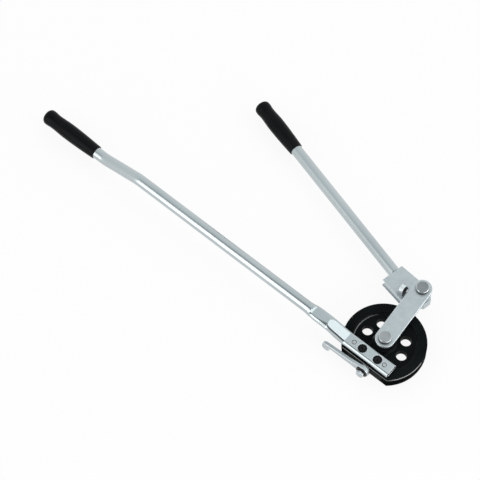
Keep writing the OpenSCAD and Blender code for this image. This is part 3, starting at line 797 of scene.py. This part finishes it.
for face in handle_tube.data.polygons:
    at = face.center
    inside = abs(at.y - seat_y) < slot_half_w and abs(at.z - form_top - press_t / 2) < slot_half_h
    in_slot = inside and press_reach - slot_depth - mm < at.x < rim_start
    in_hole = at.z < seat_top - face_room and near_any(at, dowel_places, dowel_hole_r + edge_room)
    in_sink = seat_top - sink_depth < at.z < seat_top - edge_room and near_any(at, screw_places, sink_r)
    # The slot and the dowel holes are painted shade
    if in_hole or in_slot:
        face.material_index = painted_shade_slot
    # Rim and countersinks: cut metal with a painted highlight
    elif in_sink or at.x > rim_start:
        face.material_index = cut_slot
    else:
        face.material_index = plated_slot
settle(handle_tube, "form", "handle_chrome", "handle_foot", "fixed_handle")

# %% [markdown]
# Both handles end in a moulded grip: it swells from a thin mouth, draws in to a neck, flares, and
# closes in a rounded end, with six finger flutes round its middle. The grip is a cylinder cut into
# rings. Each corner takes its radius from that outline, or from the round groove of a flute where
# that lies deeper, with the two blended so that the flute's edges are soft as in a moulding.

# %% Grip outline
grip_r = 15.3 * mm
mouth_r = 13 * mm
neck_r = 14.2 * mm
flare_r = 15.1 * mm
cap_len = 11.5 * mm
cap_close = 0.85
swell_at = 0.62
neck_at = 0.89
lip = 0.9 * mm
flute_count = 6
flute_len = 55 * mm
flute_r = 2 * mm
flute_depth = 0.9 * mm
flute_from_end = 36 * mm
flute_blend = 0.22 * mm


def grip_outline(along, length):
    part = along / (length - cap_len)
    if part < swell_at:
        r = mouth_r + (grip_r - mouth_r) * quarter_sine(part, swell_at)
    elif part < neck_at:
        r = grip_r + (neck_r - grip_r) * ease((part - swell_at) / (neck_at - swell_at))
    elif part < 1:
        r = neck_r + (flare_r - neck_r) * ease((part - neck_at) / (1 - neck_at))
    else:
        r = flare_r * math.sqrt(1 - cap_close * ((along - length + cap_len) / cap_len) ** 3)
    lip_part = min(1, along / lip)
    return r - lip * (1 - math.sqrt(1 - (1 - lip_part) ** 2))


def flute_outline(turn, along, length):
    # Radius of the nearest flute's groove in this direction, or nothing where there is none
    step = 2 * math.pi / flute_count
    off = (turn + step / 2) % step - step / 2
    axis_r = grip_r + flute_r - flute_depth
    flute_start = length - flute_from_end - flute_len
    beyond = max(0, flute_start - along, along - flute_start - flute_len)
    room = flute_r ** 2 - beyond ** 2 - (axis_r * math.sin(off)) ** 2
    if room <= 0:
        return None
    return axis_r * math.cos(off) - math.sqrt(room)


def soft_less(a, b, blend):
    share = max(0, blend - abs(a - b)) / blend
    return min(a, b) - share * share * blend / 4


print("grip outline ready")

# %% Moulded grips
grip_sides = 180
grip_cuts = 100
lip_rings = 5
cap_rings = 14
mouth_depth = 8 * mm
mouth_clear = 0.1 * mm


def grip_rings(length, count):
    body_count = count - lip_rings - cap_rings
    near = [lip * (1 - math.cos(math.pi / 2 * k / lip_rings)) for k in range(lip_rings)]
    body = [lip + (length - cap_len - lip) * k / body_count for k in range(body_count)]
    end = [length - cap_len * (1 - quarter_sine(k, cap_rings - 1)) for k in range(cap_rings)]
    return near + body + end


def moulded_grip(name, length, mouth_at, turn, body, node):
    grip = add_cylinder(name, 1.0, 1.0, sides=grip_sides)
    ringed(grip, grip_cuts)
    places = grip_rings(length, grip_cuts + 2)
    for corner in grip.data.vertices:
        along = places[ring_number(corner, grip_cuts + 1)]
        # Turn the rings to lie along X, with the first flute on top
        around = math.atan2(corner.co.x, corner.co.y)
        r = grip_outline(along, length)
        groove = flute_outline(around, along, length)
        if groove is not None:
            r = soft_less(r, groove, flute_blend)
        corner.co = (along, r * math.sin(around), r * math.cos(around))
    pick(grip, "FACE", lambda face: face.normal.x < -facing and len(face.vertices) == grip_sides)
    bpy.ops.mesh.inset(thickness=mouth_r - lip - handle_r - mouth_clear)
    push((mouth_depth, 0, 0))
    select_all()
    face_outwards()
    leave_edit()
    grip.location = mouth_at
    grip.rotation_euler = (0, 0, turn)
    lay(grip, grip_skin)
    settle(grip, body, "grip_black", node)


print("grip shaping ready")

# %% Both grips in place
fixed_grip_len = 126.5 * mm
lever_grip_len = 118 * mm
lever_offset = 13.4 * mm
shoe_reach = 63 * mm
lever_run = 311 * mm
lever_origin = shoe_pin_at + Vector((-math.sin(shoe_turn), math.cos(shoe_turn), 0)) * lever_offset
lever_along = Vector((math.cos(lever_turn), math.sin(lever_turn), 0))
tube_start = (shoe_reach + handle_r * math.sin(lever_tilt)) / math.cos(lever_tilt)
fixed_mouth = (-grip_mouth, seat_y, grip_rise)
lever_mouth = lever_origin + lever_along * (tube_start + lever_run)
moulded_grip("fixed_grip_moulding", fixed_grip_len, fixed_mouth, math.pi, "form", "fixed_grip")
moulded_grip("lever_grip_moulding", lever_grip_len, lever_mouth, lever_turn, "lever", "lever_grip_cover")

# %% [markdown]
# The form is a casting, and castings have no sharp inside corners. It starts as a disc. Its side is
# cut into rings that are drawn in to the tube groove, each face is inset and pushed in to the web and
# out again to the hub boss, and the two hub faces are bridged to a bore. Then every edge loop is
# found by its radius and height and bevelled: small rounds outside, wide fillets inside.

# %% Form disc, groove and recesses
form_sides = 180
bend_r = 76.2 * mm
groove_r = 9.6 * mm
web_top = 7.25 * mm
recess_top_r = 58.3 * mm
recess_foot_r = 57.5 * mm
boss_r = 20.5 * mm
bore_r = 10.07 * mm
groove_cuts = 25
form = add_cylinder("form_casting", rim_r, 2 * form_top, sides=form_sides)
lay(form, form_paint, form_edge, groove_painted_shade, rim_edge)
ringed(form, groove_cuts)
groove_half = math.acos((bend_r - rim_r) / groove_r)
for corner in form.data.vertices:
    if abs(corner.co.z) < form_top - same_place:
        step = (corner.co.z / form_top + 1) * (groove_cuts + 1) / 2 - 1
        lift = groove_half * (2 * step / (groove_cuts - 1) - 1)
        draw = (bend_r - groove_r * math.cos(lift)) / math.hypot(corner.co.x, corner.co.y)
        corner.co = (corner.co.x * draw, corner.co.y * draw, groove_r * math.sin(lift))
for side in (1, -1):
    pick(form, "FACE", lambda face: face.normal.z * side > facing and len(face.vertices) == form_sides)
    bpy.ops.mesh.inset(thickness=rim_r - recess_top_r)
    push((0, 0, -side * (form_top - web_top)))
    widen(recess_foot_r / recess_top_r)
    bpy.ops.mesh.inset(thickness=recess_foot_r - boss_r)
    push((0, 0, side * (form_top - web_top)))
    bpy.ops.mesh.inset(thickness=boss_r - bore_r)
pick(form, "FACE", lambda face: abs(face.normal.z) > facing and len(face.vertices) == form_sides)
bpy.ops.mesh.bridge_edge_loops()
leave_edit()
print("form disc has", len(form.data.polygons), "faces")

# %% Rounds and fillets of the casting
groove_slot, rim_slot = 2, 3
loop_r_room = 0.15 * mm
loop_z_room = 0.05 * mm
groove_edge = groove_r * math.sin(groove_half)
groove_round = 0.3 * mm
rim_chamfer = 1.0 * mm
recess_round = 0.9 * mm
web_fillet = 1.8 * mm
boss_round = 0.8 * mm


def round_loop(piece, r, z, width, segments, finish_slot):
    at_r = lambda co: abs(math.hypot(co.x, co.y) - r) < loop_r_room
    at_z = lambda co: abs(abs(co.z) - z) < loop_z_room
    pick(piece, "EDGE", edge_test(piece, lambda co: at_r(co) and at_z(co)))
    bevel_edges(width, segments, finish_slot)
    leave_edit()


round_loop(form, rim_r, groove_edge, groove_round, 2, rim_slot)
round_loop(form, rim_r, form_top, rim_chamfer, 1, rim_slot)
round_loop(form, recess_top_r, form_top, recess_round, 3, edge_slot)
round_loop(form, recess_foot_r, web_top, web_fillet, 4, rim_slot)
round_loop(form, boss_r, web_top, web_fillet, 4, rim_slot)
round_loop(form, boss_r, form_top, boss_round, 3, edge_slot)
print("rounded form has", len(form.data.polygons), "faces")

# %% [markdown]
# Along the flat the casting is full height, where the handle is screwed down, and two ribs tie that
# seat to the hub boss. Seat and ribs are separate lumps with rounded tops that are joined on, and
# then the five holes and the flat are cut. The hole cutters flare where they leave the web, which
# gives the holes their rounded edges, and two slanting cuts take off the edges of the flat.

# %% Handle seat and ribs
seat_margin = 2 * mm
seat_r = 62 * mm
seat_round = 0.9 * mm
seat_edge = -seat_y - press_half_w - seat_margin
rib_x = 17.5 * mm
rib_w = 5 * mm
rib_shift = 3 * mm
rib_short = 4 * mm
rib_lower = 0.6 * mm
rib_round = 0.8 * mm
seat = add_cylinder("handle_seat", seat_r, 2 * form_top)
lay(seat, form_paint, form_edge)
pick_all(seat)
trim((0, -seat_edge, 0), (0, 1, 0))
on_edge = lambda co: abs(co.y + seat_edge) < same_place
pick(seat, "EDGE", lambda edge: edge_test(seat, on_edge)(edge) and is_level(seat, edge))
bevel_edges(seat_round, 3, edge_slot)
leave_edit()
add_on(form, seat)
for x in (-rib_x, rib_x):
    deselect()
    bpy.ops.mesh.primitive_cube_add(size=1, location=(x, -seat_edge / 2 - rib_shift, 0))
    rib = bpy.context.object
    rib.scale = (rib_w, seat_edge - rib_short, 2 * form_top - rib_lower)
    apply_place(rib)
    lay(rib, form_paint, form_edge)
    pick(rib, "EDGE", lambda edge: True)
    bevel_edges(rib_round, 3, edge_slot)
    leave_edit()
    add_on(form, rib)
print("seat and ribs joined,", len(form.data.polygons), "faces")

# %% Holes and flat
hole_r = 9.75 * mm
hole_circle = 38.4 * mm
hole_turns = (0, 45, 90, 135, 180)
hole_sides = 72
flare_start = web_top - 0.6 * mm
flat_y = -57 * mm
flat_round = 0.7 * mm
# Each step of the flare: how far it rises and how much wider it gets
hole_flare = ((0.25 * mm, 0.12 * mm), (0.25 * mm, 0.28 * mm), (0.2 * mm, 0.45 * mm), (6 * mm, 0.0))
for turn in map(math.radians, hole_turns):
    place = (hole_circle * math.cos(turn), hole_circle * math.sin(turn), 0)
    cutter = add_cylinder("hole_cutter", hole_r, 2 * flare_start, place, hole_sides)
    lay(cutter, form_paint)
    for side in (1, -1):
        pick(cutter, "FACE", lambda face: face.normal.z * side > facing)
        wide = hole_r
        for rise, grow in hole_flare:
            push((0, 0, side * rise))
            widen((wide + grow) / wide)
            wide += grow
    leave_edit()
    cut_away(form, cutter)
pick_all(form)
trim((0, flat_y, 0), (0, -1, 0))
for side in (1, -1):
    select_all()
    trim((0, flat_y, side * (form_top - flat_round)), (0, -1, side))
leave_edit()
print("form has", len(form.data.polygons), "faces with its holes and flat")

# %% [markdown]
# The photo shows a bright line along the flat's edges and along parts of the rim and the recess. It
# can't tell wear from a reflection, so a glossier finish on just those stretches stands for both. The
# groove takes the darker finish.

# %% Bright and dark stretches of the form
# Stretches in degrees round the hub
rim_bright = (-62, 8)
recess_bright = (140, 218)
groove_from_r = 66 * mm
rim_from_r = rim_r - 1.5 * mm
slanting = 0.5
for face in form.data.polygons:
    from_axis = math.hypot(face.center.x, face.center.y)
    turn = math.degrees(math.atan2(face.center.y, face.center.x))
    in_groove = from_axis > groove_from_r and abs(face.center.z) < groove_edge - groove_round
    on_rim = rim_bright[0] < turn < rim_bright[1] and from_axis > rim_from_r
    in_recess = recess_bright[0] < turn % 360 < recess_bright[1] and from_axis < rim_from_r
    by_flat = face.center.y < flat_y + flat_round and abs(face.center.z) > form_top - flat_round
    if by_flat and min(abs(face.normal.y), abs(face.normal.z)) > slanting:
        face.material_index = rim_slot
    # The groove's darker finish is painted shade
    elif in_groove and face.normal.y > -facing:
        face.material_index = groove_slot
    elif face.material_index == rim_slot and not (on_rim or in_recess):
        face.material_index = edge_slot
settle(form, "form", "form_black", "form_wheel")

# %% [markdown]
# The link is a flat plate with round ends. A filled circle is pulled out into that outline by moving
# half of its corners along, the outline is extruded to the plate's thickness, and the edges are
# rounded as a press and a tumbling barrel leave them.

# %% Link plate
link_half = 18 * mm
link_round = 0.9 * mm
link_sides = 128
deselect()
bpy.ops.mesh.primitive_circle_add(vertices=link_sides, radius=link_half, fill_type="NGON",
                                  rotation=(0, 0, math.pi / link_sides))
link = bpy.context.object
link.name = "link_strap"
lay(link, zinc, zinc_edge)
apply_place(link)
pick(link, "VERT", lambda corner: corner.co.x > 0)
bpy.ops.transform.translate(value=(link_len, 0, 0))
select_all()
push((0, 0, link_t))
select_all()
face_outwards()
pick(link, "EDGE", lambda edge: is_level(link, edge))
bevel_edges(link_round, 3, edge_slot)
leave_edit()
link.rotation_euler = (0, 0, link_turn)
link.location = (0, 0, link_rise)
settle(link, "link", "zinc_plate", "link_plate")

# %% [markdown]
# Both pivots are headed pins. The head is a disc with a rounded top edge, and from its underside the
# shank is drawn down by inset and extrude, with a groove near its end for the ring. A band of the
# black oxide finish round the foot of each head is painted shade.

# %% Pivot pins
pin_r = 8 * mm
pin_head_r = 12 * mm
pin_head_h = 7 * mm
pin_round = 1.4 * mm
pin_foot_round = 0.7 * mm
pin_dark = 3.4 * mm
pin_end = 1.2 * mm
ring_t = 1.5 * mm
ring_groove = 1 * mm
washer_t = 2 * mm
washer_gap = 0.2 * mm
shoe_low = -11 * mm
level_face = 0.97
link_top = link_rise + link_t


def pivot_pin(name, node, far_face, place, finish):
    ring_top = far_face - washer_gap - washer_t
    pin = add_cylinder(name, pin_head_r, pin_head_h, (place[0], place[1], link_top + pin_head_h / 2))
    top = lambda co: abs(co.z - link_top - pin_head_h) < same_place
    past_shank = lambda co: math.hypot(co.x - place[0], co.y - place[1]) > pin_r + mm
    foot = lambda co: abs(co.z - link_top) < same_place and past_shank(co)
    pick(pin, "FACE", lambda face: face.normal.z < -facing)
    bpy.ops.mesh.inset(thickness=pin_head_r - pin_r)
    push((0, 0, ring_top - link_top))
    bpy.ops.mesh.inset(thickness=ring_groove)
    push((0, 0, -ring_t))
    push((0, 0, 0))
    widen(pin_r / (pin_r - ring_groove))
    push((0, 0, -pin_end))
    pick(pin, "EDGE", edge_test(pin, top))
    bevel_edges(pin_round, 6)
    pick(pin, "EDGE", edge_test(pin, foot))
    bevel_edges(pin_foot_round, 3)
    select_all()
    bpy.ops.mesh.bisect(plane_co=(0, 0, link_top + pin_dark), plane_no=(0, 0, 1))
    leave_edit()
    polish_slot, top_slot, shade_band_slot = 0, 1, 2
    lay(pin, pin_polish, finish, black_oxide)
    for face in pin.data.polygons:
        # The band at the foot of the head, in the black oxide finish, is painted shade
        under_head = -mm < face.center.z - link_top < pin_dark
        if face.normal.z > level_face:
            face.material_index = top_slot
        else:
            face.material_index = shade_band_slot if under_head else polish_slot
    settle(pin, "link", "plain_steel", node)


pivot_pin("hub_pin_turned", "hub_pin", -form_top, (0, 0), hub_steel)
pivot_pin("shoe_pin_turned", "shoe_pin", shoe_low, shoe_pin_at, shoe_steel)

# %% [markdown]
# The shoe, the stop, the hook with its washer and spacer, the screws, dowels and collars have the right
# outline as solids but edges like knives. Each is copied, its loose triangles are merged, flat ones
# are dissolved into whole faces, and a bevel that looks for sharp angles rounds what is left.

# %% Softened copies
flat_angle = math.radians(0.5)
sharp_angle = math.radians(40)
soft_segments = 3
lump_merge = 0.1 * mm


def whole_faces(piece, merge):
    only(piece)
    pick_all(piece)
    bpy.ops.mesh.remove_doubles(threshold=merge)
    bpy.ops.mesh.dissolve_limited(angle_limit=flat_angle)
    leave_edit()


def softened(node, name, body, slot, finish, edge_finish, width, lump=None):
    piece = bpy.data.objects.new(name, nodes[node].data.copy())
    bpy.context.scene.collection.objects.link(piece)
    lay(piece, finish, edge_finish)
    whole_faces(piece, same_place)
    if lump:
        add_on(piece, lump)
        whole_faces(piece, lump_merge)
    apply_modifier(piece, "BEVEL", width=width, segments=soft_segments, limit_method="ANGLE",
                   angle_limit=sharp_angle, use_clamp_overlap=True, material=edge_slot)
    settle(piece, body, slot, node)


print("softening ready")

# %% [markdown]
# The hook's bar runs into its eye without a step. A wedge of the bar's own thickness fills the corner
# above the bar, with its long side tangent to the eye, before the copy's edges are rounded.

# %% Shoulder of the hook
hook_pivot_x = 2.5 * mm
hook_eye_r = 12.8 * mm
hook_root_up = 8.8 * mm
hook_drop = 9.2 * mm
hook_run = 80.5 * mm
hook_fall = hook_drop / hook_run
hook_touch = math.radians(14)
hook_clear = 9 * mm
hook_sunk = 0.05 * mm


def hook_wedge():
    low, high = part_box("hook_bar")
    touch_s = hook_eye_r * math.sin(hook_touch)
    touch_up = hook_eye_r * math.cos(hook_touch)
    slope = math.tan(hook_touch)
    end_s = (touch_up + slope * touch_s - hook_root_up) / (slope - hook_fall)
    end_up = hook_root_up - hook_fall * end_s
    corners = ((touch_s, touch_up - hook_sunk), (end_s, end_up - hook_sunk), (end_s, 0), (hook_clear, 0))
    deselect()
    bpy.ops.mesh.primitive_plane_add(size=1)
    wedge = bpy.context.object
    for index, (along, up) in zip(wedge.data.polygons[0].vertices, corners):
        wedge.data.vertices[index].co = (hook_pivot_x - along, high[1], up)
    pick_all(wedge)
    push((0, low[1] - high[1], 0))
    select_all()
    face_outwards()
    leave_edit()
    print("wedge reaches", round(end_s, 4), "along the hook's bar")
    return wedge


print("hook's bar falls", round(hook_fall, 4), "of its run")

# %% Rounded pieces
softened("shoe_block", "shoe_rounded", "lever", "zinc_plate", zinc, zinc_edge, 0.8 * mm)
softened("stop_lug", "stop_lug_rounded", "lever", "zinc_plate", lug_zinc_painted_light, zinc_edge, 0.35 * mm)
softened("stop_nut", "stop_nut_rounded", "lever", "black_steel", black_oxide, oxide_edge, 0.5 * mm)
softened("hook_bar", "hook_rounded", "hook", "zinc_plate", zinc, zinc_edge, 1.2 * mm, lump=hook_wedge())
softened("hook_washer", "hook_washer_rounded", "form", "black_steel", black_oxide, oxide_edge, 0.4 * mm)
softened("hook_spacer", "hook_spacer_rounded", "form", "zinc_plate", zinc, zinc_edge, 0.4 * mm)
softened("seat_screws", "seat_screws_rounded", "form", "black_steel", black_oxide, oxide_edge, 0.3 * mm)
softened("seat_dowels", "seat_dowels_rounded", "form", "plain_steel", plain_steel, pin_polish, 0.8 * mm)
softened("shoe_collar", "shoe_collar_rounded", "link", "zinc_plate", zinc, zinc_edge, 0.5 * mm)
softened("hub_collar", "hub_collar_rounded", "link", "plain_steel", hub_steel, zinc_edge, 0.5 * mm)

# %% [markdown]
# The hook turns on a hexagon bolt. Its head starts as a six-sided cylinder. The top is pushed up a
# little and narrowed, which leaves the chamfer that all such heads have. A thin blackened flange is
# joined on below, with the shank drawn out of its back.

# %% Hook bolt
bolt_at = Vector((hook_pivot_x, -69.2 * mm, 0))
bolt_af = 13.6 * mm
hex_sides = 6
hex_h = 5.4 * mm
hex_round = 0.3 * mm
chamfer_h = 0.8 * mm
chamfer_narrow = 0.88
flange_r = 8 * mm
flange_t = 1.2 * mm
flange_lap = 0.2 * mm
flange_round = 0.4 * mm
flange_sides = 64
bolt_shank_r = 5 * mm
bolt_reach = 25 * mm
bolt_dark = 2
hex_r = bolt_af / 2 / math.cos(math.pi / hex_sides)
bolt = add_cylinder("hook_bolt_hexagon", hex_r, hex_h, sides=hex_sides)
lay(bolt, zinc, zinc_edge, black_oxide)
pick(bolt, "FACE", lambda face: face.normal.z > facing)
push((0, 0, chamfer_h))
widen(chamfer_narrow)
pick(bolt, "EDGE", lambda edge: True)
bevel_edges(hex_round, 2, edge_slot)
leave_edit()
hex_low = -hex_h / 2
flange = add_cylinder("bolt_flange", flange_r, flange_t, (0, 0, hex_low - flange_lap), flange_sides)
lay(flange, zinc, zinc_edge, black_oxide)
pick(flange, "EDGE", edge_test(flange, lambda co: co.z > hex_low))
bevel_edges(flange_round, 2, edge_slot)
pick(flange, "FACE", lambda face: face.normal.z < -facing)
bpy.ops.mesh.inset(thickness=flange_r - bolt_shank_r)
push((0, 0, -bolt_reach))
leave_edit()
for face in flange.data.polygons:
    face.material_index = bolt_dark
add_on(bolt, flange)
flange_low = hex_low - flange_lap - flange_t / 2
bolt.rotation_euler = (math.pi / 2, 0, 0)
bolt.location = bolt_at + Vector((0, flange_low, 0))
settle(bolt, "form", "zinc_plate", "hook_bolt")

# %% [markdown]
# The solids whose shape is right keep it and only take a finish.

# %% Finishes on the solids
finish_of = {
    "form_wheel": form_paint, "hub_bush": bronze, "handle_foot": handle_plating,
    "fixed_handle": handle_plating, "seat_filler": plain_steel, "seat_screws": black_oxide,
    "seat_dowels": plain_steel, "fixed_grip": grip_skin, "hook_spacer": zinc, "hook_bolt": zinc,
    "hook_washer": black_oxide, "hook_bar": zinc, "link_plate": zinc, "hub_pin": hub_steel,
    "hub_collar": hub_steel, "hub_washer": zinc, "hub_ring": black_oxide, "shoe_pin": shoe_steel,
    "shoe_collar": shoe_steel, "shoe_washer": zinc, "shoe_ring": black_oxide, "shoe_block": zinc,
    "shoe_bush": bronze, "lever_stub": plain_steel, "lever_tube": lever_plating,
    "lever_cross_pin": plain_steel, "lever_grip_cover": grip_skin, "stop_lug": zinc,
    "stop_screw": zinc, "stop_nut": black_oxide}
for name, finish in finish_of.items():
    lay(nodes[name], finish)
print("finishes set on", len(finish_of), "solids")
